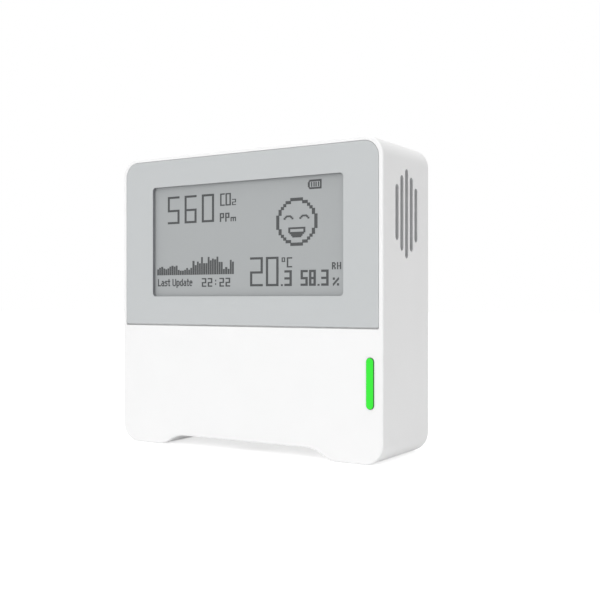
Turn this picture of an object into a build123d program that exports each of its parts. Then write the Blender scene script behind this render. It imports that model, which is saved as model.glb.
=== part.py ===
from build123d import *
import os

# A small table-top carbon dioxide monitor, in millimetres. +Z is up, the display faces -Y, and the
# origin is the middle of the footprint. Depths are Y values: the front of the case has the lowest.

# --- Driving dimensions ---------------------------------------------------------------------------

case_w = 67.5
case_h = 65.3
case_d = 21.7
corner_r = 4.3
side_wall = 1.8
front_wall = 2.2
edge_round = 0.35
seam = 0.15  # open joint round a part that drops into another
slack = 0.05  # room round a part that is pushed into its seat

arch_h = 2.3
arch_flat_w = 32.0
arch_foot_w = 47.0

border = 1.0  # white rim round the grey panel
panel_bottom = 27.25
panel_t = 0.8
panel_gap = 0.08
groove = 0.35  # shadow line under the panel
tape_t = 0.1
tape_w = 2.0

window_w = 49.7
window_h = 24.8
window_z = 45.9
window_r = 0.8
film_over = 0.9  # how far the display film runs on behind the panel
film_t = 0.4
glass_w = 59.2
glass_h = 29.2
glass_t = 0.6
glass_shift = -1.6

bar_side_gap = 0.2  # from the inside of the right-hand wall
bar_z = 16.2
bar_w = 1.7
bar_h = 10.25
bar_proud = 0.25
bar_flange_t = 0.55
led_size = (1.6, 0.5, 0.8)

board_t = 1.2
board_gap = 1.125  # from the inside of the front wall to the board
board_bottom = 5.6
board_side_gap = 0.75
board_top_gap = 0.9

boss_r = 2.2
boss_inset = 2.05  # boss centre to the inside of the walls
shoulder_r = 3.3
screw_r = 0.8
head_r = 1.7
head_t = 1.0
board_screw_x = 20.0
board_screw_z = 8.2

vent_pitch = 2.28
vent_w = 1.5
vent_lengths = (11.35, 15.4, 18.35, 15.4, 11.35)
vent_drop = 13.1  # from the inside of the top wall to the middle of the slots
mesh_t = 0.3

cell_r = 7.25
cell_l = 50.5
cell_gap = 1.0
cell_slack = 0.2
nub_r = 2.6
nub_l = 1.0
tray_wall = 1.2
tray_floor = 0.5
tray_board_gap = 0.25
contact_space = 1.75
contact_t = 0.3
tail_w = 1.6  # strip that leads from each contact through the tray's floor to the board
tail_room = 0.08

cover_t = 2.0
door_t = 1.6
door_bottom = 11.2
hinge_r = 0.6
hinge_fit = 0.06
hinge_drop = 1.2  # from the door's top edge down to the hinge line
hinge_depth = 0.95  # from the outside of the door in to the hinge line
hinge_l = 1.0
door_top_gap = 0.25
lip_t = 0.35

keyhole_r = 3.25
keyhole_slot_r = 1.7
keyhole_rise = 5.5
keyhole_spacing = 40.0
keyhole_z = 54.0

usb_w = 8.94
usb_t = 3.16
usb_l = 7.3
usb_wall = 0.3
usb_recess = 0.3
usb_room = 0.22

button_x = 11.0
button_y = -4.0
button_r = 1.7
button_room = 0.3
button_flange_r = 2.3
button_flange_t = 0.8
button_recess = 0.2
button_float = 0.05
button_travel = 0.35

sensor_w = 33.0
sensor_h = 19.6
sensor_z = 42.9
sensor_right = 27.4
sensor_board_t = 1.0
sensor_lift = 1.6
sensor_chamber_t = 9.0

# --- Places worked out from them ------------------------------------------------------------------

front_y = -(case_d - bar_proud) / 2
back_y = front_y + case_d
wall_y = front_y + front_wall
pocket_y = front_y + panel_t + tape_t
film_back_y = pocket_y + film_t
glass_back_y = film_back_y + glass_t
board_y = wall_y + board_gap
board_back_y = board_y + board_t
cover_y = back_y - cover_t
door_y = back_y - door_t

inner_x = case_w / 2 - side_wall
inner_top = case_h - side_wall
arch_floor = arch_h + side_wall
panel_top = case_h - border
panel_x = case_w / 2 - border
vent_y = (front_y + back_y) / 2

door_top = door_bottom + 4 * cell_r + cell_gap + 2 * cell_slack - seam - door_top_gap
door_x = cell_l / 2 + contact_space - seam
opening_x = door_x + seam
opening_bottom = door_bottom - seam
opening_top = door_top + door_top_gap
hinge_z = door_top - hinge_drop
hinge_y = back_y - hinge_depth

tray_y = board_back_y + tray_board_gap
cell_y = tray_y + tray_floor + 0.1 + cell_r
lower_cell_z = opening_bottom + cell_slack + cell_r
upper_cell_z = lower_cell_z + 2 * cell_r + cell_gap

bar_x = inner_x - bar_side_gap - bar_w / 2
vent_z = inner_top - vent_drop

boss_x = inner_x - boss_inset
boss_places = [(sx * boss_x, z) for sx in (-1, 1) for z in (side_wall + boss_inset, inner_top - boss_inset)]

# --- Helpers --------------------------------------------------------------------------------------


def facing(y):
    """A sketch plane that faces the front at depth y: its own x and y are X and Z."""
    return Plane.XZ.offset(-y)


def block(x, y, z, mode=Mode.ADD):
    """A plain block between the pairs of limits x, y and z, joined to the piece being made."""
    with BuildSketch(facing(y[0])) as outline:
        with Locations(((x[0] + x[1]) / 2, (z[0] + z[1]) / 2)):
            Rectangle(x[1] - x[0], z[1] - z[0])
    extrude(outline.sketch, amount=y[0] - y[1], mode=mode)


def rod(plane, places, radius, length, mode=Mode.ADD):
    """Round rods that stand on a plane at the given places and run back from it."""
    with BuildSketch(plane) as outline:
        with Locations(*places):
            Circle(radius)
    extrude(outline.sketch, amount=-length, mode=mode)


def case_outline(inset):
    """The case's outline from the front, arch and all, moved in by a wall."""
    run, rise = (arch_foot_w - arch_flat_w) / 4, arch_h / 2
    half_w, flat_x, foot_x = case_w / 2, arch_flat_w / 2, arch_foot_w / 2
    with BuildSketch() as outline:
        with BuildLine():
            flat = Line((0, arch_h), (flat_x, arch_h))
            upper = TangentArc(flat @ 1, (flat_x + run, rise), tangent=flat % 1)
            lower = TangentArc(upper @ 1, (foot_x, 0), tangent=upper % 1)
            foot = Line(lower @ 1, (half_w - corner_r, 0))
            low = TangentArc(foot @ 1, (half_w, corner_r), tangent=foot % 1)
            side = Line(low @ 1, (half_w, case_h - corner_r))
            high = TangentArc(side @ 1, (half_w - corner_r, case_h), tangent=side % 1)
            Line(high @ 1, (0, case_h))
            mirror(about=Plane.YZ)
        make_face()
        if inset:
            offset(amount=-inset, mode=Mode.REPLACE)
    return outline.sketch


def panel_outline(grow, drop):
    """The grey panel's outline: its top corners follow the case, and its bottom ones are square."""
    with BuildSketch() as outline:
        with Locations((0, (panel_top + panel_bottom + grow - drop) / 2)):
            Rectangle(2 * (panel_x + grow), panel_top - panel_bottom + grow + drop)
        fillet(outline.vertices().group_by(Axis.Y)[-1], corner_r - border + grow)
        fillet(outline.vertices().group_by(Axis.Y)[0], 0.3)
    return outline.sketch


def save(piece, name):
    """Name a finished piece and write it to its own file."""
    piece.part.label = name
    export_step(piece.part, f"parts/{name}.step")


os.makedirs("parts", exist_ok=True)

# --- Case -----------------------------------------------------------------------------------------

# Deep front shell: one moulding with the walls, the arch, the panel's pocket and all the bosses.
with BuildPart() as front_housing:
    with BuildSketch(facing(front_y)):
        add(case_outline(0))
    extrude(amount=-case_d)
    fillet(front_housing.edges().group_by(Axis.Y)[0], edge_round)
    with BuildSketch(facing(wall_y)):
        add(case_outline(side_wall))
    extrude(amount=wall_y - back_y, mode=Mode.SUBTRACT)
    # corner bosses for the rear cover's screws, with a shoulder under the board
    rod(facing(wall_y - slack), boss_places, boss_r, cover_y - wall_y + slack)
    rod(facing(wall_y - slack), boss_places, shoulder_r, board_y - wall_y + slack)
    rod(facing(cover_y), boss_places, screw_r + slack, -8, mode=Mode.SUBTRACT)
    # short bosses for the board's own screws, and hooks over its top edge
    board_screw_places = [(sx * board_screw_x, board_screw_z) for sx in (-1, 1)]
    rod(facing(wall_y - slack), board_screw_places, 2.2, board_gap + slack)
    rod(facing(board_y), board_screw_places, screw_r + slack, -board_gap - 1.2, mode=Mode.SUBTRACT)
    for hook_x in (-14, 6):
        hook_y = board_back_y + slack
        block((hook_x, hook_x + 6), (hook_y, hook_y + 1), (inner_top - 1.7, inner_top + slack))
    # pocket for the panel, and the display's opening through its floor
    with BuildSketch(facing(front_y)):
        add(panel_outline(panel_gap, groove))
    extrude(amount=front_y - pocket_y, mode=Mode.SUBTRACT)
    glass_room = 0.3
    with BuildSketch(facing(front_y)):
        with Locations((glass_shift, window_z)):
            Rectangle(glass_w + 2 * glass_room, glass_h + 2 * glass_room)
    extrude(amount=front_y - wall_y, mode=Mode.SUBTRACT)
    # slot for the light bar
    with BuildSketch(facing(front_y)):
        with Locations((bar_x, bar_z)):
            SlotOverall(bar_h + 2 * slack, bar_w + 2 * slack, rotation=90)
    extrude(amount=-front_wall, mode=Mode.SUBTRACT)
    # air slots through the right-hand wall
    with BuildSketch(Plane.YZ.offset(case_w / 2)):
        for i, length in enumerate(vent_lengths):
            with Locations((vent_y + (i - 2) * vent_pitch, vent_z)):
                SlotOverall(length, vent_w, rotation=90)
    extrude(amount=-side_wall, mode=Mode.SUBTRACT)
    # holes through the arch: the charging inlet and the two buttons
    usb_y = board_back_y + usb_t / 2 + slack
    with BuildSketch(Plane.XY.offset(arch_h)):
        with Locations((0, usb_y)):
            SlotOverall(usb_w + 2 * usb_room, usb_t + 2 * usb_room)
        with Locations((-button_x, button_y), (button_x, button_y)):
            Circle(button_r + button_room)
    extrude(amount=side_wall, mode=Mode.SUBTRACT)
save(front_housing, "front_housing")

# Grey front panel with the display's window, held by a frame of tape.
with BuildPart() as display_panel:
    with BuildSketch(facing(front_y)):
        add(panel_outline(0, 0))
        with Locations((0, window_z)):
            RectangleRounded(window_w, window_h, window_r, mode=Mode.SUBTRACT)
    extrude(amount=-panel_t)
save(display_panel, "display_panel")

with BuildPart() as panel_tape:
    with BuildSketch(facing(front_y + panel_t)):
        add(panel_outline(-0.4, -0.4))
        with Locations((glass_shift, window_z)):
            Rectangle(glass_w + 2 * glass_room + 0.2, glass_h + 2 * glass_room + 0.2, mode=Mode.SUBTRACT)
    extrude(amount=-tape_t)
save(panel_tape, "panel_tape")

# --- Display --------------------------------------------------------------------------------------

# The film carries the ink, on a thin glass plate that runs past it to the ribbon's side.
with BuildPart() as epaper_film:
    film_x, film_z = window_w / 2 + film_over, window_h / 2 + film_over
    block((-film_x, film_x), (pocket_y, film_back_y), (window_z - film_z, window_z + film_z))
save(epaper_film, "epaper_film")

with BuildPart() as epaper_glass:
    glass_left, glass_right = glass_shift - glass_w / 2, glass_shift + glass_w / 2
    glass_z = (window_z - glass_h / 2, window_z + glass_h / 2)
    block((glass_left, glass_right), (film_back_y, glass_back_y), glass_z)
save(epaper_glass, "epaper_glass")

# Foam between the glass and the board, so that the display can't rattle.
with BuildPart() as epaper_cushion:
    block((glass_left + 12, glass_right - 3), (glass_back_y, board_y), (glass_z[0] + 2, glass_z[1] - 2))
save(epaper_cushion, "epaper_cushion")

# Ribbon from the back of the glass, stepped down into its socket on the board.
ribbon_t = 0.2
ribbon_z = (window_z - 6, window_z + 6)
socket_x = (glass_left + 5.2, glass_left + 9.4)
socket_t = 1.0
slot_y = board_y - socket_t / 2
with BuildPart() as epaper_flex:
    with BuildSketch(Plane.XY.offset(ribbon_z[0])):
        with BuildLine():
            Polyline(
                (glass_left + 0.3, glass_back_y),
                (glass_left + 2.4, glass_back_y),
                (glass_left + 4.4, slot_y - ribbon_t),
                (socket_x[0] + 1.5, slot_y - ribbon_t),
                (socket_x[0] + 1.5, slot_y),
                (glass_left + 4.3, slot_y),
                (glass_left + 2.3, glass_back_y + ribbon_t),
                (glass_left + 0.3, glass_back_y + ribbon_t),
                close=True,
            )
        make_face()
    extrude(amount=ribbon_z[1] - ribbon_z[0])
save(epaper_flex, "epaper_flex")

with BuildPart() as flex_connector:
    block(socket_x, (board_y - socket_t, board_y), (ribbon_z[0] - 1, ribbon_z[1] + 1))
    slot = (slot_y - ribbon_t - 0.02, slot_y + 0.02)
    block((socket_x[0], socket_x[0] + 1.6), slot, (ribbon_z[0] - 0.1, ribbon_z[1] + 0.1), mode=Mode.SUBTRACT)
save(flex_connector, "flex_connector")

# --- Light ----------------------------------------------------------------------------------------

# Clear bar that stands a little proud of the case, with a flange behind the wall.
flange_x = (bar_x - 1.9, bar_x + bar_w / 2 - 0.05)
flange_z = (bar_z - bar_h / 2 - 1.4, bar_z + bar_h / 2 + 1.4)
with BuildPart() as light_pipe:
    with BuildSketch(facing(wall_y)):
        with Locations((bar_x, bar_z)):
            SlotOverall(bar_h, bar_w, rotation=90)
    extrude(amount=front_wall + bar_proud)
    fillet(light_pipe.edges().group_by(Axis.Y)[0], 0.15)
    block(flange_x, (wall_y, wall_y + bar_flange_t), flange_z)
save(light_pipe, "light_pipe")

with BuildPart() as indicator_leds:
    led_w, led_t, led_h = led_size
    for step in (-3.6, 0, 3.6):
        led_z = bar_z + step
        led_x = (bar_x - 1.4, bar_x - 1.4 + led_w)
        block(led_x, (board_y - led_t, board_y), (led_z - led_h / 2, led_z + led_h / 2))
save(indicator_leds, "indicator_leds")

# --- Electronics ----------------------------------------------------------------------------------

board_x = inner_x - board_side_gap
board_top = inner_top - board_top_gap
with BuildPart() as main_board:
    block((-board_x, board_x), (board_y, board_back_y), (board_bottom, board_top))
    rod(facing(board_y), boss_places, boss_r + 0.3, board_t, mode=Mode.SUBTRACT)
    rod(facing(board_y), board_screw_places, screw_r + 0.1, board_t, mode=Mode.SUBTRACT)
save(main_board, "main_board")

with BuildPart() as board_screws:
    rod(facing(board_back_y), board_screw_places, head_r, head_t)
    rod(facing(board_back_y), board_screw_places, screw_r, -(board_t + board_gap))
save(board_screws, "board_screws")

with BuildPart() as microcontroller:
    block((-8.5, -1.5), (board_y - 0.9, board_y), (14.5, 21.5))
    chamfer(microcontroller.edges().group_by(Axis.Y)[0], 0.15)
save(microcontroller, "microcontroller")

# Power supply, memory and filter parts on the front of the board: middle X, middle Z, width, height.
chip_places = [(6, 19, 5, 4), (13, 14, 4, 4), (13, 20.5, 3, 3)]
chip_places += [(-14, 18, 3, 5), (-20, 16, 4, 4), (2.5, 12, 3.2, 2.5)]
with BuildPart() as board_chips:
    for x, z, w, h in chip_places:
        block((x - w / 2, x + w / 2), (board_y - 0.8, board_y), (z - h / 2, z + h / 2))
save(board_chips, "board_chips")

radio_x, radio_z, radio_t, shield_t = (-27.0, -9.0), (44.0, 58.0), 0.8, 2.0
with BuildPart() as radio_module:
    block(radio_x, (board_back_y, board_back_y + radio_t), radio_z)
save(radio_module, "radio_module")

with BuildPart() as radio_shield:
    shield_y = board_back_y + radio_t
    shield_x, shield_z = (radio_x[0] + 5, radio_x[1] - 0.6), (radio_z[0] + 0.6, radio_z[1] - 0.6)
    block(shield_x, (shield_y, shield_y + shield_t), shield_z)
    fillet(radio_shield.edges().filter_by(Axis.Y), 0.5)
save(radio_shield, "radio_shield")

# Ceramic chip aerial, past the shield's end at the edge of the case.
with BuildPart() as radio_antenna:
    aerial_z = (radio_z[0] + radio_z[1]) / 2
    block((radio_x[0] + 1, radio_x[0] + 3), (shield_y, shield_y + 0.9), (aerial_z - 3.5, aerial_z + 3.5))
save(radio_antenna, "radio_antenna")

# Charging inlet: a folded metal shell with its mouth in the arch, and the tongue inside it.
usb_bottom = arch_h + usb_recess
with BuildPart() as usb_socket:
    with BuildSketch(Plane.XY.offset(usb_bottom)):
        with Locations((0, usb_y)):
            SlotOverall(usb_w, usb_t)
    extrude(amount=usb_l)
    with BuildSketch(Plane.XY.offset(usb_bottom)):
        with Locations((0, usb_y)):
            SlotOverall(usb_w - 2 * usb_wall, usb_t - 2 * usb_wall)
    extrude(amount=usb_l - usb_wall, mode=Mode.SUBTRACT)
save(usb_socket, "usb_socket")

with BuildPart() as usb_tongue:
    with BuildSketch(Plane.XY.offset(usb_bottom + 0.9)):
        with Locations((0, usb_y)):
            RectangleRounded(usb_w - 2.3, 0.7, 0.2)
    extrude(amount=usb_l - usb_wall - 0.9 - 1.2)
    with BuildSketch(Plane.XY.offset(usb_bottom + usb_l - usb_wall - 1.2)):
        with Locations((0, usb_y)):
            SlotOverall(usb_w - 2 * usb_wall - 0.1, usb_t - 2 * usb_wall - 0.1)
    extrude(amount=1.2)
save(usb_tongue, "usb_tongue")

# Two push buttons in the arch. Each cap has a flange that keeps it in, and works a switch above it.
button_bottom = arch_h + button_recess
flange_bottom = arch_floor + button_float
flange_top = flange_bottom + button_flange_t
plunger_size = (2.4, 1.3)
plunger_bottom = flange_top + 0.05
switch_bottom = plunger_bottom + 0.95
switch_top = switch_bottom + 3.4
for name, x in (("power", -button_x), ("refresh", button_x)):
    place = [(x, button_y)]
    with BuildPart() as button:
        rod(Plane.XY.offset(flange_bottom), place, button_r, flange_bottom - button_bottom)
        fillet(button.edges().group_by(Axis.Z)[0], 0.3)
        rod(Plane.XY.offset(flange_top), place, button_flange_r, button_flange_t)
    save(button, f"{name}_button")
    with BuildPart() as switch_body:
        block((x - 2.6, x + 2.6), (board_back_y, button_y + 1.5), (switch_bottom, switch_top))
        with BuildSketch(Plane.XY.offset(switch_bottom)):
            with Locations(*place):
                Rectangle(plunger_size[0] + 0.3, plunger_size[1] + 0.3)
        extrude(amount=1.3, mode=Mode.SUBTRACT)
    save(switch_body, f"{name}_switch_body")
    with BuildPart() as plunger:
        with BuildSketch(Plane.XY.offset(plunger_bottom)):
            with Locations(*place):
                Rectangle(*plunger_size)
        extrude(amount=0.95 + 1.3 - button_travel - 0.1)
        fillet(plunger.edges().group_by(Axis.Z)[0], 0.2)
    save(plunger, f"{name}_switch_plunger")

# --- Sensors --------------------------------------------------------------------------------------

# Gas cell on its own board, carried clear of the main board on two rows of pins.
sensor_x = (sensor_right - sensor_w, sensor_right)
sensor_zs = (sensor_z, sensor_z + sensor_h)
sensor_y = board_back_y + sensor_lift
chamber_y = sensor_y + sensor_board_t
with BuildPart() as co2_sensor_board:
    block(sensor_x, (sensor_y, chamber_y), sensor_zs)
save(co2_sensor_board, "co2_sensor_board")

with BuildPart() as co2_sensor_pins:
    pin_zs = [sensor_z + sensor_h / 2 + (i - 1.5) * 2.54 for i in range(4)]
    pin_places = [(x, z) for x in (sensor_x[0] + 1.3, sensor_x[1] - 1.3) for z in pin_zs]
    rod(facing(board_back_y), pin_places, 0.32, sensor_lift)
save(co2_sensor_pins, "co2_sensor_pins")

with BuildPart() as co2_sensor_chamber:
    chamber_x, chamber_z = (sensor_x[0] + 3, sensor_x[1] - 2.6), (sensor_z + 1, sensor_zs[1] - 1)
    block(chamber_x, (chamber_y, chamber_y + sensor_chamber_t), chamber_z)
    fillet(co2_sensor_chamber.edges().filter_by(Axis.Y), 2)
save(co2_sensor_chamber, "co2_sensor_chamber")

with BuildPart() as co2_sensor_filter:
    filter_y = chamber_y + sensor_chamber_t
    block((sensor_x[1] - 17, sensor_x[1] - 5), (filter_y, filter_y + 0.5), (sensor_z + 3, sensor_zs[1] - 3))
    fillet(co2_sensor_filter.edges().filter_by(Axis.Y), 1)
save(co2_sensor_filter, "co2_sensor_filter")

# Temperature and humidity chip, on a small board that stands in the air path behind the slots.
climate_x = inner_x - mesh_t - 2.4
with BuildPart() as climate_board:
    block((climate_x, climate_x + 0.8), (board_back_y, board_back_y + 8), (vent_z - 4, vent_z + 4))
save(climate_board, "climate_board")

with BuildPart() as climate_chip:
    block((climate_x + 0.8, climate_x + 1.7), (vent_y - 1.25, vent_y + 1.25), (vent_z - 1.25, vent_z + 1.25))
save(climate_chip, "climate_chip")

with BuildPart() as vent_mesh:
    mesh_z = max(vent_lengths) / 2 + 0.4
    block((inner_x - mesh_t, inner_x), (vent_y - 6.2, vent_y + 6.2), (vent_z - mesh_z, vent_z + mesh_z))
save(vent_mesh, "vent_mesh")

# --- Battery compartment --------------------------------------------------------------------------

# Tray for two cells, its rim against the inside of the rear cover, held by a screw in each ear.
tray_x = opening_x + tray_wall
ear_t = 1.6
contact_places = [(side, z) for side in (-1, 1) for z in (lower_cell_z, upper_cell_z)]
ear_x = tray_x + 1.9
ear_z = (lower_cell_z + upper_cell_z) / 2
ear_places = [(sx * (tray_x + 1.4), ear_z) for sx in (-1, 1)]
tray_screw_r = 0.6
with BuildPart() as battery_tray:
    hollow_z = (opening_bottom, opening_top)
    block((-tray_x, tray_x), (tray_y, cover_y), (opening_bottom - 1, opening_top + 1))
    block((-opening_x, opening_x), (tray_y + tray_floor, cover_y), hollow_z, mode=Mode.SUBTRACT)
    rib_z = lower_cell_z + cell_r + cell_gap / 2
    block((-18, 18), (tray_y, tray_y + 3), (rib_z - 0.25, rib_z + 0.25))
    for sx in (-1, 1):
        ear = sorted((sx * (tray_x - 0.2), sx * (ear_x + 0.9)))
        block(ear, (cover_y - ear_t, cover_y), (ear_z - 3, ear_z + 3))
    rod(facing(cover_y - ear_t), ear_places, tray_screw_r + slack, ear_t, mode=Mode.SUBTRACT)
    # slots in the floor for the contacts' tails
    for side, z in contact_places:
        slot_x = sorted((side * opening_x, side * (opening_x - contact_t - tail_room)))
        slot_z = (z - tail_w / 2 - tail_room, z + tail_w / 2 + tail_room)
        block(slot_x, (tray_y, tray_y + tray_floor), slot_z, mode=Mode.SUBTRACT)
save(battery_tray, "battery_tray")

with BuildPart() as tray_screws:
    rod(facing(cover_y - ear_t), ear_places, 1.2, -0.7)
    rod(facing(cover_y - ear_t), ear_places, tray_screw_r, ear_t + 1.1)
save(tray_screws, "tray_screws")

for name, z, turn in (("lower", lower_cell_z, 1), ("upper", upper_cell_z, -1)):
    with BuildPart() as cell:
        body_l = cell_l - nub_l
        rod(Plane.YZ.offset(turn * (cell_l / 2 - nub_l)), [(cell_y, z)], cell_r, turn * body_l)
        fillet(cell.edges().filter_by(GeomType.CIRCLE), 0.5)
        rod(Plane.YZ.offset(turn * cell_l / 2), [(cell_y, z)], nub_r, turn * nub_l)
    save(cell, f"battery_{name}")

# A sprung leaf at each flat end and a plain plate at each nub. A tail on each reaches the board.
contact_reach = 5.0  # from a cell's axis to the contact's ends, front and back


def contact_tail(side, z):
    """The strip from a contact down through the tray's floor."""
    strip_x = sorted((side * opening_x, side * (opening_x - contact_t)))
    block(strip_x, (board_back_y, cell_y - contact_reach), (z - tail_w / 2, z + tail_w / 2))


with BuildPart() as battery_springs:
    for side, z in ((-1, lower_cell_z), (1, upper_cell_z)):
        with BuildSketch(Plane.XY.offset(z - 3)):
            with BuildLine():
                wall = side * (opening_x - contact_t / 2)
                crest = side * (cell_l / 2 + contact_t / 2 + 0.02)
                Polyline(
                    (wall, cell_y - contact_reach),
                    (wall, cell_y - 3),
                    (crest, cell_y - 0.8),
                    (crest, cell_y + 0.8),
                    (wall, cell_y + 3),
                    (wall, cell_y + contact_reach),
                )
            trace(line_width=contact_t)
        extrude(amount=6)
        contact_tail(side, z)
save(battery_springs, "battery_springs")

with BuildPart() as battery_contacts:
    for side, z in ((1, lower_cell_z), (-1, upper_cell_z)):
        plate = sorted((side * opening_x, side * (opening_x - contact_t)))
        block(plate, (cell_y - contact_reach, cell_y + contact_reach), (z - 4, z + 4))
        contact_tail(side, z)
        pad = sorted((side * (opening_x - contact_t), side * (cell_l / 2 + 0.02)))
        block(pad, (cell_y - 1.8, cell_y + 1.8), (z - 1.8, z + 1.8))
save(battery_contacts, "battery_contacts")

# --- Back -----------------------------------------------------------------------------------------

# Plate that drops into the back of the shell, with the door's opening and two hanging holes.
with BuildPart() as rear_cover:
    with BuildSketch(facing(cover_y)):
        add(case_outline(side_wall + seam))
        with Locations((0, (opening_bottom + opening_top) / 2)):
            Rectangle(2 * opening_x, opening_top - opening_bottom, mode=Mode.SUBTRACT)
    extrude(amount=-cover_t)
    # a lip at the foot of the opening stops the door
    block((-10, 10), (cover_y, door_y), (opening_bottom, opening_bottom + 1))
    # bearing holes for the door's pins
    rod(Plane.YZ.offset(opening_x + hinge_l + 0.2), [(hinge_y, hinge_z)], hinge_r + hinge_fit,
        2 * (opening_x + hinge_l + 0.2), mode=Mode.SUBTRACT)
    # hanging holes: a screw head goes in at the round end and slides up the slot
    with BuildSketch(facing(cover_y)):
        with Locations(*[(sx * keyhole_spacing / 2, keyhole_z) for sx in (-1, 1)]):
            Circle(keyhole_r)
        with Locations(*[(sx * keyhole_spacing / 2, keyhole_z + keyhole_rise / 2) for sx in (-1, 1)]):
            SlotCenterToCenter(keyhole_rise, 2 * keyhole_slot_r, rotation=90)
    extrude(amount=-cover_t, mode=Mode.SUBTRACT)
    # counterbored screw holes, blind holes for the tray's screws, and a finger scoop under the door
    rod(facing(cover_y), boss_places, screw_r + slack, cover_t, mode=Mode.SUBTRACT)
    rod(facing(back_y - head_t - slack), boss_places, head_r + slack, head_t + slack, mode=Mode.SUBTRACT)
    rod(facing(cover_y), ear_places, tray_screw_r + slack, 1.2, mode=Mode.SUBTRACT)
    rod(facing(back_y - 0.8), [(0, opening_bottom)], 4, 0.8, mode=Mode.SUBTRACT)
save(rear_cover, "rear_cover")

with BuildPart() as cover_screws:
    rod(facing(back_y - head_t), boss_places, head_r, head_t)
    rod(facing(back_y - head_t), boss_places, screw_r, -(6 + cover_t - head_t))
    rod(facing(back_y - 0.4), boss_places, 0.7, 0.4, mode=Mode.SUBTRACT)
save(cover_screws, "cover_screws")

# Battery door: it turns on a pin at each end of its top edge.
with BuildPart() as battery_door:
    block((-door_x, door_x), (door_y, back_y), (door_bottom, door_top))
    top_edges = battery_door.edges().filter_by(Axis.X).group_by(Axis.Z)[-1]
    fillet(top_edges.sort_by(Axis.Y)[-1], 0.6)
    hinge_end = opening_x + hinge_l
    rod(Plane.YZ.offset(hinge_end), [(hinge_y, hinge_z)], hinge_r, 2 * hinge_end)
    for grip in range(3):
        grip_z = door_bottom + 2 + grip * 1.6
        block((-7, 7), (back_y - 0.3, back_y), (grip_z, grip_z + 0.7), mode=Mode.SUBTRACT)
save(battery_door, "battery_door")
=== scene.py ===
import math

import bpy
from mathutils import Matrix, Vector


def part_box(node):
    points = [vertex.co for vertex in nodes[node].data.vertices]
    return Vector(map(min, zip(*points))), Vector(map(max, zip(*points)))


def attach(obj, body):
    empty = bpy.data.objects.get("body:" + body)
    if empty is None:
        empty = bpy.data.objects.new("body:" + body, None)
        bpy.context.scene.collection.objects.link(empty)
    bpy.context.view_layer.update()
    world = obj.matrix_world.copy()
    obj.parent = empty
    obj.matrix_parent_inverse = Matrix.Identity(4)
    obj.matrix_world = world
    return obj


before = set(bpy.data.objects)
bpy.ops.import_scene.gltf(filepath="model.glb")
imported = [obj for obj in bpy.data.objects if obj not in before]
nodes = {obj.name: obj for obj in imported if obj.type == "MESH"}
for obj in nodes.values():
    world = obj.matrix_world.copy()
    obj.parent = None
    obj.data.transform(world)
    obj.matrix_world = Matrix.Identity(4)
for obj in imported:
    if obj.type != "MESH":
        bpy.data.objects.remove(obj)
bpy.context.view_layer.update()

MM = 0.001
bpy.ops.object.select_all(action="DESELECT")
scene = bpy.context.scene
scene.view_settings.view_transform = "Standard"

# Where the monitor is seen from: close by, to the right of the front, level with the middle of the
# case. The front panel's face is the plane that the camera's distance is measured from.
front_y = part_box("display_panel")[0][1]
camera_turn = math.radians(31.594)
camera_place = (113.87 * MM, front_y - 161.26 * MM, 32.69 * MM)
bpy.ops.object.camera_add(location=camera_place, rotation=(math.radians(90), 0, camera_turn))
camera = bpy.context.object
camera.data.lens = 55.08
camera.data.clip_start = 5 * MM
scene.camera = camera


# Table and light: a white table, an even white room, one tall soft lamp before the front and a
# smaller one above. The room looks white to the eye and to anything shiny, and lights the monitor at
# its own level.
def linear(code):
    """An sRGB hex colour as linear red, green, blue and alpha."""
    parts = [int(code[i : i + 2], 16) / 255 for i in (1, 3, 5)]
    return [c / 12.92 if c <= 0.04045 else ((c + 0.055) / 1.055) ** 2.4 for c in parts] + [1.0]


def node(tree, kind, settings=(), **links):
    """Adds a node. settings are its sockets or options by name; links join its sockets to outputs."""
    made = tree.nodes.new(kind)
    for name, value in dict(settings).items():
        if hasattr(made, name):
            setattr(made, name, value)
        else:
            made.inputs[int(name) if name.isdigit() else name].default_value = value
    for name, output in links.items():
        key = name.replace("_", " ")
        tree.links.new(output, made.inputs[int(key[1:]) if key[0] == "n" and key[1:].isdigit() else key])
    return made


def seen_directly(tree):
    """1 for what the eye, a reflection or a clear part sees, and 0 for light on the object."""
    path = node(tree, "ShaderNodeLightPath").outputs
    shiny = node(tree, "ShaderNodeMath", {"operation": "MAXIMUM"},
                 n0=path["Is Glossy Ray"], n1=path["Is Transmission Ray"])
    seen = node(tree, "ShaderNodeMath", {"operation": "MAXIMUM"},
                n0=path["Is Camera Ray"], n1=shiny.outputs[0])
    return seen.outputs[0]


room_level = 0.585
world = bpy.data.worlds.new("white_room")
scene.world = world
world.use_nodes = True
tree = world.node_tree
tree.nodes.clear()
lit = node(tree, "ShaderNodeBackground", {"Color": (1, 1, 1, 1), "Strength": room_level})
looked_at = node(tree, "ShaderNodeBackground", {"Color": (1, 1, 1, 1), "Strength": 1.0})
room = node(tree, "ShaderNodeMixShader", n0=seen_directly(tree), n1=lit.outputs[0], n2=looked_at.outputs[0])
node(tree, "ShaderNodeOutputWorld", Surface=room.outputs[0])

for title, lamp_place, width, height, watts in (
    ("front_lamp", Vector((0.02, -0.75, 0.30)), 0.3, 0.8, 2.08),
    ("top_lamp", Vector((0.0, -0.10, 0.75)), 0.3, 0.5, 1.7),
):
    bpy.ops.object.light_add(type="AREA", location=lamp_place)
    lamp = bpy.context.object
    lamp.name = title
    lamp.rotation_euler = (Vector((0, 0, 0.03)) - lamp_place).to_track_quat("-Z", "Y").to_euler()
    lamp.data.energy = watts
    lamp.data.shape = "RECTANGLE"
    lamp.data.size = width
    lamp.data.size_y = height

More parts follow.
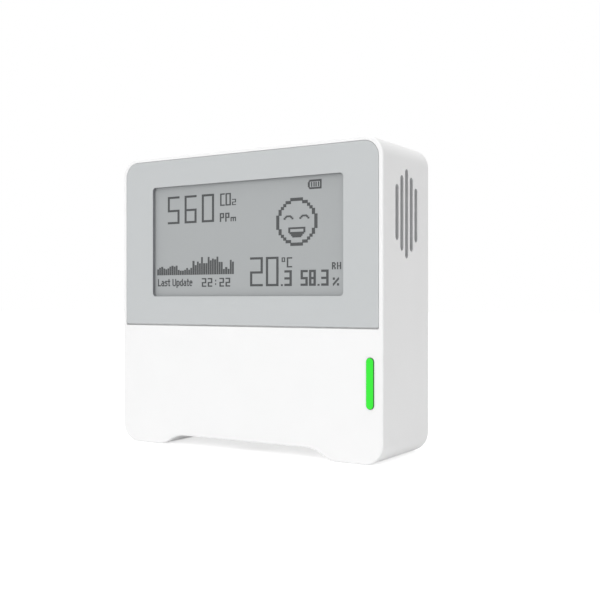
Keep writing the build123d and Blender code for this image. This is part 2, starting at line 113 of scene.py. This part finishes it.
bpy.ops.mesh.primitive_plane_add(size=4)
table = bpy.context.object
table.name = "table_top"
table_paint = bpy.data.materials.new("white_table_paint")
table_paint.use_nodes = True
tree = table_paint.node_tree
tree.nodes.clear()
paint = node(tree, "ShaderNodeBsdfDiffuse", {"Color": linear("#EDEDED")})
lift = node(tree, "ShaderNodeMapRange", {"To Min": 0.04, "To Max": 0.62}, Value=seen_directly(tree))
glow = node(tree, "ShaderNodeEmission", {"Color": (1, 1, 1, 1)}, Strength=lift.outputs[0])
whole = node(tree, "ShaderNodeAddShader", n0=paint.outputs[0], n1=glow.outputs[0])
node(tree, "ShaderNodeOutputMaterial", Surface=whole.outputs[0])
table.data.materials.append(table_paint)


# Case: front shell, rear cover, battery door and button caps, injection moulded in white ABS from a
# spark-eroded tool. That leaves a fine even grain, soft highlights and very slight cloudiness.
def finish_of(name, colour, roughness, metallic=0.0, ior=1.5):
    """A new material with its principled shader, and the place on the piece in metres."""
    made = bpy.data.materials.new(name)
    made.use_nodes = True
    tree = made.node_tree
    tree.nodes.clear()
    shader = node(tree, "ShaderNodeBsdfPrincipled",
                  {"Base Color": linear(colour), "Roughness": roughness, "Metallic": metallic, "IOR": ior})
    node(tree, "ShaderNodeOutputMaterial", Surface=shader.outputs[0])
    place = node(tree, "ShaderNodeTexCoord").outputs["Object"]
    return made, tree, shader, place


def cloud(tree, place, grain_mm, light, dark, detail=2.0):
    """Soft variation between two colours, in patches of about grain_mm."""
    noise = node(tree, "ShaderNodeTexNoise", {"Scale": 1 / (grain_mm * MM), "Detail": detail}, Vector=place)
    mix = node(tree, "ShaderNodeMix", {"data_type": "RGBA", "6": linear(light), "7": linear(dark)},
               n0=noise.outputs["Fac"])
    return mix.outputs[2]


def grain(tree, shader, place, grain_mm, height_mm, strength=0.4):
    """A bumped grain of that size and height."""
    noise = node(tree, "ShaderNodeTexNoise", {"Scale": 1 / (grain_mm * MM), "Detail": 3.0}, Vector=place)
    bump = node(tree, "ShaderNodeBump", {"Strength": strength, "Distance": height_mm * MM},
                Height=noise.outputs["Fac"])
    tree.links.new(bump.outputs[0], shader.inputs["Normal"])


def dress(material, *names):
    """Puts one finish on CAD pieces."""
    for name in names:
        slots = nodes[name].data.materials
        slots.clear()
        slots.append(material)


def inside(tree, place, low, high):
    """1 where the place on the piece lies in the box between two corners, and 0 elsewhere."""
    middle = [(a + b) / 2 for a, b in zip(low, high)]
    reach = [(b - a) / 2 for a, b in zip(low, high)]
    offset = node(tree, "ShaderNodeVectorMath", {"operation": "SUBTRACT", "1": middle}, n0=place)
    away = node(tree, "ShaderNodeVectorMath", {"operation": "ABSOLUTE"}, n0=offset.outputs[0])
    share = node(tree, "ShaderNodeVectorMath", {"operation": "DIVIDE", "1": reach}, n0=away.outputs[0])
    x, y, z = node(tree, "ShaderNodeSeparateXYZ", Vector=share.outputs[0]).outputs
    farther = node(tree, "ShaderNodeMath", {"operation": "MAXIMUM"}, n0=x, n1=y)
    farthest = node(tree, "ShaderNodeMath", {"operation": "MAXIMUM"}, n0=farther.outputs[0], n1=z)
    within = node(tree, "ShaderNodeMath", {"operation": "LESS_THAN", "1": 1.0}, n0=farthest.outputs[0])
    return within.outputs[0]


# The real grain is about 0.05 mm, too fine to show: it is drawn at 0.22 mm. The walls of the air slots
# have painted shade: they are a little greyer than the outside, so that the slots read dark from the front.
abs_white, tree, shader, place = finish_of("white_spark_grained_ABS", "#F5F5F5", 0.46, ior=1.54)
slots_low, slots_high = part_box("vent_mesh")
side_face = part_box("front_housing")[1][0]
skin = 0.05 * MM
slot_wall_painted_shade = inside(tree, place, (slots_high[0] + skin, slots_low[1], slots_low[2]),
                  (side_face - skin, slots_high[1], slots_high[2]))
# painted shade on the walls of the air slots
white = node(tree, "ShaderNodeMix", {"data_type": "RGBA", "7": linear("#D2D3D4")}, n0=slot_wall_painted_shade,
             n6=cloud(tree, place, 9.0, "#F6F6F6", "#F4F4F4"))
tree.links.new(white.outputs[2], shader.inputs["Base Color"])
grain(tree, shader, place, 0.22, 0.004)
dress(abs_white, "front_housing", "rear_cover", "battery_door", "power_button", "refresh_button")

# Front panel: a grey satin polycarbonate plate, printed on its face. The cut edge round the window
# is painted a darker grey, painted shade which draws the thin line along the window's left and top.
panel_face, tree, shader, place = finish_of("grey_satin_polycarbonate", "#C1C4C5", 0.38, ior=1.58)
paper_low, paper_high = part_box("epaper_film")
panel_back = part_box("display_panel")[1][1]
film_over = 0.87 * MM  # how far the film reaches behind the panel, all round
window_wall_painted_shade = inside(tree, place, (paper_low[0] + film_over, front_y + 0.04 * MM, paper_low[2] + film_over),
                  (paper_high[0] - film_over, panel_back + 1 * MM, paper_high[2] - film_over))
face = cloud(tree, place, 14.0, "#C0C3C4", "#C2C5C6")
# painted shade on the window's cut edge
shade = node(tree, "ShaderNodeMix", {"data_type": "RGBA", "7": linear("#85878A")}, n0=window_wall_painted_shade, n6=face)
tree.links.new(shade.outputs[2], shader.inputs["Base Color"])
grain(tree, shader, place, 0.3, 0.003)
dress(panel_face, "display_panel")

# Display ground: electronic paper, a matte film of grey-white capsules. Its colour is an even cool
# grey with a faint speckle, drawn at 0.25 mm because single capsules are too fine to show.
paper, tree, shader, place = finish_of("electronic_paper", "#A9ACAD", 0.62, ior=1.45)
tree.links.new(cloud(tree, place, 0.25, "#A8ABAC", "#AAADAE", 1.0), shader.inputs["Base Color"])
grain(tree, shader, place, 0.25, 0.002, 0.2)
dress(paper, "epaper_film")

# Display ink: what the paper shows, in dots of its own 250 by 122 grid, each cut in four so that a
# stroke can be half a dot wider. The readings are plain bar digits. The inked dots are a thin sheet
# of dark capsules on the film's face.
dots_wide, dots_high = 250, 122
dot = 48.55 * MM / dots_wide
cuts = 2
layer_t = 0.02 * MM
inked = set()


def fill(x, y, w, h):
    """Inks a block of dots whose lower left corner is x, y, and half a dot more on its right."""
    for column in range(round(cuts * x), round(cuts * (x + w)) + 1):
        inked.update((column, row) for row in range(round(cuts * y), round(cuts * (y + h))))


# The bars of a digit or letter: top, bottom, middle, and left and right halves, upper and lower.
BARS = {"0": "tbLlRr", "2": "tRmlb", "3": "tRmrb", "5": "tLmrb", "6": "tLlmrb", "8": "tbmLlRr",
        "C": "tLlb", "O": "tbLlRr", "P": "tLlRm", "H": "LlRrm"}


def bars(sign, x, y, w, h, pen):
    """Draws a digit or letter with straight bars, pen dots thick, in a box of dots."""
    middle = y + (h - pen) // 2
    upper, lower = y + h - middle, middle + pen - y
    strokes = {"t": (x, y + h - pen, w, pen), "b": (x, y, w, pen), "m": (x, middle, w, pen),
               "L": (x, middle, pen, upper), "l": (x, y, pen, lower),
               "R": (x + w - pen, middle, pen, upper), "r": (x + w - pen, y, pen, lower)}
    for stroke in BARS[sign]:
        fill(*strokes[stroke])


def picture(rows, x, y):
    """Draws rows of dots, given from the top down, # for ink, with the lowest row at y."""
    for up, row in enumerate(reversed(rows)):
        for i, mark in enumerate(row):
            if mark == "#":
                fill(x + i, y + up, 1, 1.5)


# carbon dioxide reading, its name and its unit
for i, digit in enumerate("560"):
    bars(digit, 16 + 25 * i, 81.5, 17, 32, 2.5)
bars("C", 92, 99, 6, 14, 1.5)
bars("O", 99.5, 99, 7, 14, 1.5)
bars("2", 108.5, 99, 5, 7, 1)
bars("P", 91.5, 81, 5.5, 10, 1.5)
bars("P", 99, 81, 5.5, 10, 1.5)
fill(106.5, 84.5, 7, 1.5)
for leg in (106.5, 109.5, 112.5):
    fill(leg, 81, 1, 5)

# the last readings as a row of columns
trend = [7, 9, 10, 8, 7, 8, 10, 11, 10, 11, 6, 5, 5, 6, 8, 6, 8, 16,
         11, 15, 13, 20, 13, 13, 20, 16, 18, 17, 20, 14, 14, 6, 8, 6, 16, 14]
for i, reading in enumerate(trend):
    fill(3.1 * i, 22, 2.1, reading)

# "Last Update" and the time
LETTERS = {
    "L": ["#...", "#...", "#...", "#...", "#...", "#...", "#...", "####"],
    "a": [".##.", "...#", ".###", "#..#", "#..#", ".###"],
    "s": [".###", "#...", ".##.", "...#", "...#", "###."],
    "t": [".#.", ".#.", "###", ".#.", ".#.", ".#.", ".#.", ".##"],
    "U": ["#...#"] * 7 + [".###."],
    "p": ["###.", "#..#", "#..#", "#..#", "#..#", "###.", "#...", "#..."],
    "d": ["...#", "...#", ".###", "#..#", "#..#", "#..#", "#..#", ".###"],
    "e": [".##.", "#..#", "####", "#...", "#...", ".##."],
    " ": [".."],
}
pen_x, baseline = 1, 9
for letter in "Last Update":
    rows = LETTERS[letter]
    picture(rows, pen_x, baseline - (2 if letter == "p" else 0))
    pen_x += len(rows[0]) + 1
for x in (66, 74.5, 91, 99.5):
    bars("2", x, 8, 6, 10, 1.5)
for y in (10, 14):
    fill(85, y, 1, 2)

# battery level
fill(209.5, 118.5, 14, 2)
fill(209.5, 110.5, 14, 2)
fill(222.5, 110.5, 1.5, 10)
fill(208.5, 111.5, 1, 8)
fill(207.5, 113, 1, 5)
for i in range(4):
    fill(211.5 + 2.8 * i, 113, 1, 5)

# a smiling face for good air, on a coarser grid of three by three dots
face_x, face_y, block_dots, radius = 191.5, 75, 3, 8
stroke = block_dots + 0.5
for i in range(-6, 7):
    rise = round(math.sqrt(radius * radius - i * i))
    for up in (rise, -rise):
        fill(face_x + block_dots * i, face_y + block_dots * up, stroke, stroke)
        fill(face_x + block_dots * up, face_y + block_dots * i, stroke, stroke)
for eye in (177, 197):
    fill(eye + 3, 82, 6, 2)
    fill(eye + 1.5, 81, 2, 2)
    fill(eye, 79.5, 2, 2)
    fill(eye + 8.5, 81, 2, 2)
    fill(eye + 10, 79.5, 2, 2)
fill(183, 69, 21, 2)
for side in (183, 202):
    fill(side, 65, 2, 5)
fill(184.5, 63.5, 18, 2.5)
fill(186.5, 61.5, 14, 2)
fill(188, 60, 11, 1.5)

# temperature and humidity
bars("2", 133, 8, 16.5, 32, 2.5)
bars("0", 154, 8, 16, 32, 2.5)
bars("O", 174.5, 34, 4, 5, 1)
bars("C", 181, 28, 6.5, 11, 1.5)
fill(173.5, 8, 2, 2)
bars("3", 178, 8, 9, 17, 2.5)
bars("5", 198.5, 8, 8.5, 17, 2.5)
bars("8", 209, 8, 8, 17, 2.5)
fill(219.5, 8, 2, 2)
bars("3", 224, 8, 8.5, 17, 2.5)
picture(["###.", "#..#", "#..#", "###.", "#.#.", "#..#", "#..#"], 237, 25)
bars("H", 243, 25, 4.5, 7.5, 1)
picture(["##....#", "##...##", "....##.", "...##..", "..##...", ".##....", "##...##", "#....##"], 238, 8)

columns, rows = cuts * dots_wide, cuts * dots_high
bpy.ops.mesh.primitive_grid_add(x_subdivisions=columns, y_subdivisions=rows, size=1)
ink = bpy.context.object
ink.name = "display_ink"
bpy.ops.object.mode_set(mode="EDIT")
bpy.ops.mesh.select_mode(type="FACE")
bpy.ops.mesh.select_all(action="DESELECT")
bpy.ops.object.mode_set(mode="OBJECT")
for square in ink.data.polygons:
    column = int((square.center.x + 0.5) * columns)
    row = int((square.center.y + 0.5) * rows)
    square.select = (column, row) not in inked
bpy.ops.object.mode_set(mode="EDIT")
bpy.ops.mesh.delete(type="FACE")
bpy.ops.mesh.select_all(action="SELECT")
bpy.ops.mesh.dissolve_limited(angle_limit=math.radians(1))
bpy.ops.object.mode_set(mode="OBJECT")
ink.scale = (dots_wide * dot, dots_high * dot, 1)
ink.rotation_euler = (math.radians(90), 0, 0)
ink.location = (0, paper_low[1] - layer_t / 2, (paper_low[2] + paper_high[2]) / 2)
bpy.ops.object.transform_apply(location=True, rotation=True, scale=True)
layer = ink.modifiers.new("layer", "SOLIDIFY")
layer.thickness = layer_t
layer.offset = 0
bpy.ops.object.modifier_apply(modifier=layer.name)
ink_black, tree, shader, place = finish_of("dark_capsule_ink", "#4C4E4F", 0.6, ior=1.45)
tree.links.new(cloud(tree, place, 0.2, "#494B4C", "#4F5152", 1.0), shader.inputs["Base Color"])
ink.data.materials.append(ink_black)
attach(ink, "case")

# Light bar: clear acrylic tinted green by the lamps behind it. Its face glows evenly, and its
# rounded rim glows a deeper green, which is painted shade.
green_lens, tree, shader, place = finish_of("lit_acrylic", "#0E3A10", 0.5, ior=1.49)
axes = node(tree, "ShaderNodeSeparateXYZ", Vector=place).outputs
bar_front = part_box("light_pipe")[0][1]
face_not_painted_shade_rim = node(tree, "ShaderNodeMath", {"operation": "LESS_THAN", "1": bar_front + 0.02 * MM}, n0=axes["Y"])
# painted shade: the rim glows a deeper green than the face
glow = node(tree, "ShaderNodeMix", {"data_type": "RGBA", "6": linear("#14501A"), "7": linear("#18F818")},
            n0=face_not_painted_shade_rim.outputs[0])
tree.links.new(glow.outputs[2], shader.inputs["Emission Color"])
shader.inputs["Emission Strength"].default_value = 0.84
shader.inputs["Base Color"].default_value = linear("#0E3A10")
grain(tree, shader, place, 0.6, 0.002, 0.15)
dress(green_lens, "light_pipe")

lamp_body, tree, shader, place = finish_of("moulded_epoxy_lamp", "#E4E8CF", 0.25)
tree.links.new(cloud(tree, place, 0.5, "#E8EBD6", "#DCE0C0"), shader.inputs["Base Color"])
dress(lamp_body, "indicator_leds")

# Display stack behind the paper: thin glass, an amber ribbon, black foam and black tape, all of it
# covered by the case.
glass, tree, shader, place = finish_of("display_glass", "#C4D2CE", 0.12, ior=1.52)
tree.links.new(cloud(tree, place, 20.0, "#C4D2CE", "#BDCDC8"), shader.inputs["Base Color"])
dress(glass, "epaper_glass")

ribbon, tree, shader, place = finish_of("amber_polyimide_ribbon", "#B4701F", 0.3, ior=1.7)
tracks = node(tree, "ShaderNodeTexWave", {"bands_direction": "Z", "Scale": 1 / (math.pi * MM)}, Vector=place)
copper = node(tree, "ShaderNodeMix", {"data_type": "RGBA", "6": linear("#B4701F"), "7": linear("#8A4F12")},
              n0=tracks.outputs["Fac"])
tree.links.new(copper.outputs[2], shader.inputs["Base Color"])
dress(ribbon, "epaper_flex")

foam, tree, shader, place = finish_of("black_cell_foam", "#2A2A2B", 0.9)
pores = node(tree, "ShaderNodeTexVoronoi", {"Scale": 1 / (0.6 * MM)}, Vector=place)
bump = node(tree, "ShaderNodeBump", {"Strength": 0.6, "Distance": 0.1 * MM}, Height=pores.outputs["Distance"])
tree.links.new(bump.outputs[0], shader.inputs["Normal"])
dress(foam, "epaper_cushion", "panel_tape")

# Circuit boards: woven glass in epoxy under a green mask, with the weave just showing through.
board, tree, shader, place = finish_of("green_masked_board", "#12502F", 0.35, ior=1.55)
weave = node(tree, "ShaderNodeTexChecker",
             {"Scale": 1 / (0.7 * MM), "Color1": linear("#145433"), "Color2": linear("#104A2B")},
             Vector=place)
tree.links.new(weave.outputs["Color"], shader.inputs["Base Color"])
grain(tree, shader, place, 0.5, 0.01, 0.3)
dress(board, "main_board", "radio_module", "co2_sensor_board", "climate_board")

# Chips and switch bodies: black filled epoxy and nylon, matte with a dusty grain.
resin, tree, shader, place = finish_of("black_filled_epoxy", "#1B1B1C", 0.55, ior=1.55)
tree.links.new(cloud(tree, place, 0.4, "#18181A", "#202022"), shader.inputs["Base Color"])
grain(tree, shader, place, 0.15, 0.004)
dress(resin, "microcontroller", "board_chips", "climate_chip")

nylon, tree, shader, place = finish_of("black_glass_filled_nylon", "#1D1D1F", 0.5, ior=1.53)
tree.links.new(cloud(tree, place, 0.8, "#1B1B1D", "#222224"), shader.inputs["Base Color"])
grain(tree, shader, place, 0.3, 0.005)
dress(nylon, "flex_connector", "usb_tongue", "power_switch_body", "refresh_switch_body", "battery_tray")

acetal, tree, shader, place = finish_of("white_acetal", "#DEDDD8", 0.4, ior=1.48)
tree.links.new(cloud(tree, place, 1.0, "#E0DFDA", "#DAD9D4"), shader.inputs["Base Color"])
dress(acetal, "power_switch_plunger", "refresh_switch_plunger")

# Metal parts: tinned steel shells, zinc-plated screws, nickel-plated contacts and the gas cell's
# gold-plated case. Each is drawn or pressed, so its reflections are slightly streaked.
for title, colour, roughness, streak_mm, names in (
    ("tinned_steel", "#C9C8C2", 0.32, 1.5, ("radio_shield", "usb_socket")),
    ("zinc_plated_steel", "#AEB0B0", 0.35, 0.5, ("board_screws", "cover_screws", "tray_screws")),
    ("nickel_plated_steel", "#D2CFC8", 0.22, 1.0, ("battery_springs", "battery_contacts")),
    ("gold_plated_brass", "#D8B25A", 0.28, 2.0, ("co2_sensor_chamber", "co2_sensor_pins")),
):
    metal, tree, shader, place = finish_of(title, colour, roughness, metallic=1.0)
    streaks = node(tree, "ShaderNodeMapping", {"Scale": (1.0, 1.0, 0.2)}, Vector=place)
    noise = node(tree, "ShaderNodeTexNoise", {"Scale": 1 / (streak_mm * MM), "Detail": 3.0},
                 Vector=streaks.outputs[0])
    rough = node(tree, "ShaderNodeMapRange", {"To Min": roughness - 0.06, "To Max": roughness + 0.08},
                 Value=noise.outputs["Fac"])
    tree.links.new(rough.outputs[0], shader.inputs["Roughness"])
    dress(metal, *names)

# Air path: a white felt filter on the gas cell and a grey woven mesh behind the slots.
felt, tree, shader, place = finish_of("white_felt", "#ECEBE6", 0.9)
tree.links.new(cloud(tree, place, 0.4, "#F0EFEA", "#E2E1DA", 4.0), shader.inputs["Base Color"])
grain(tree, shader, place, 0.3, 0.05, 0.6)
dress(felt, "co2_sensor_filter")

mesh_cloth, tree, shader, place = finish_of("grey_woven_mesh", "#484B4D", 0.8)
holes = node(tree, "ShaderNodeTexChecker",
             {"Scale": 1 / (0.3 * MM), "Color1": linear("#424547"), "Color2": linear("#4E5153")},
             Vector=place)
tree.links.new(holes.outputs["Color"], shader.inputs["Base Color"])
dress(mesh_cloth, "vent_mesh")

# Cells: steel cans in a printed shrink sleeve that leaves the ends bare, blue with a pale band at the
# nub's end. The two cells lie opposite ways.
for name, nub_side in (("battery_lower", 1), ("battery_upper", -1)):
    cell_low, cell_high = (Vector(corner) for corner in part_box(name))
    middle, half = (cell_low + cell_high) / 2, (cell_high - cell_low) / 2
    sleeve, tree, shader, place = finish_of("shrink_sleeve_" + name, "#2B5E9E", 0.25, ior=1.54)
    blue = cloud(tree, place, 6.0, "#2A5C9B", "#2F63A6")
    band_x = middle.x + nub_side * (half.x - 6.0 * MM)
    band = inside(tree, place, (band_x - 3.6 * MM, cell_low.y - MM, cell_low.z - MM),
                  (band_x + 3.6 * MM, cell_high.y + MM, cell_high.z + MM))
    printed = node(tree, "ShaderNodeMix", {"data_type": "RGBA", "7": linear("#DADFE6")}, n0=band, n6=blue)
    sleeve_x, sleeve_half = middle.x - nub_side * 0.4 * MM, half.x - 1.2 * MM
    sleeved = inside(tree, place, (sleeve_x - sleeve_half, cell_low.y - MM, cell_low.z - MM),
                     (sleeve_x + sleeve_half, cell_high.y + MM, cell_high.z + MM))
    look = node(tree, "ShaderNodeMix", {"data_type": "RGBA", "6": linear("#C9C6BF")},
                n0=sleeved, n7=printed.outputs[2])
    bare = node(tree, "ShaderNodeMath", {"operation": "SUBTRACT", "0": 1.0}, n1=sleeved)
    tree.links.new(look.outputs[2], shader.inputs["Base Color"])
    tree.links.new(bare.outputs[0], shader.inputs["Metallic"])
    shader.inputs["Coat Weight"].default_value = 0.4
    grain(tree, shader, place, 2.5, 0.02, 0.2)
    dress(sleeve, name)
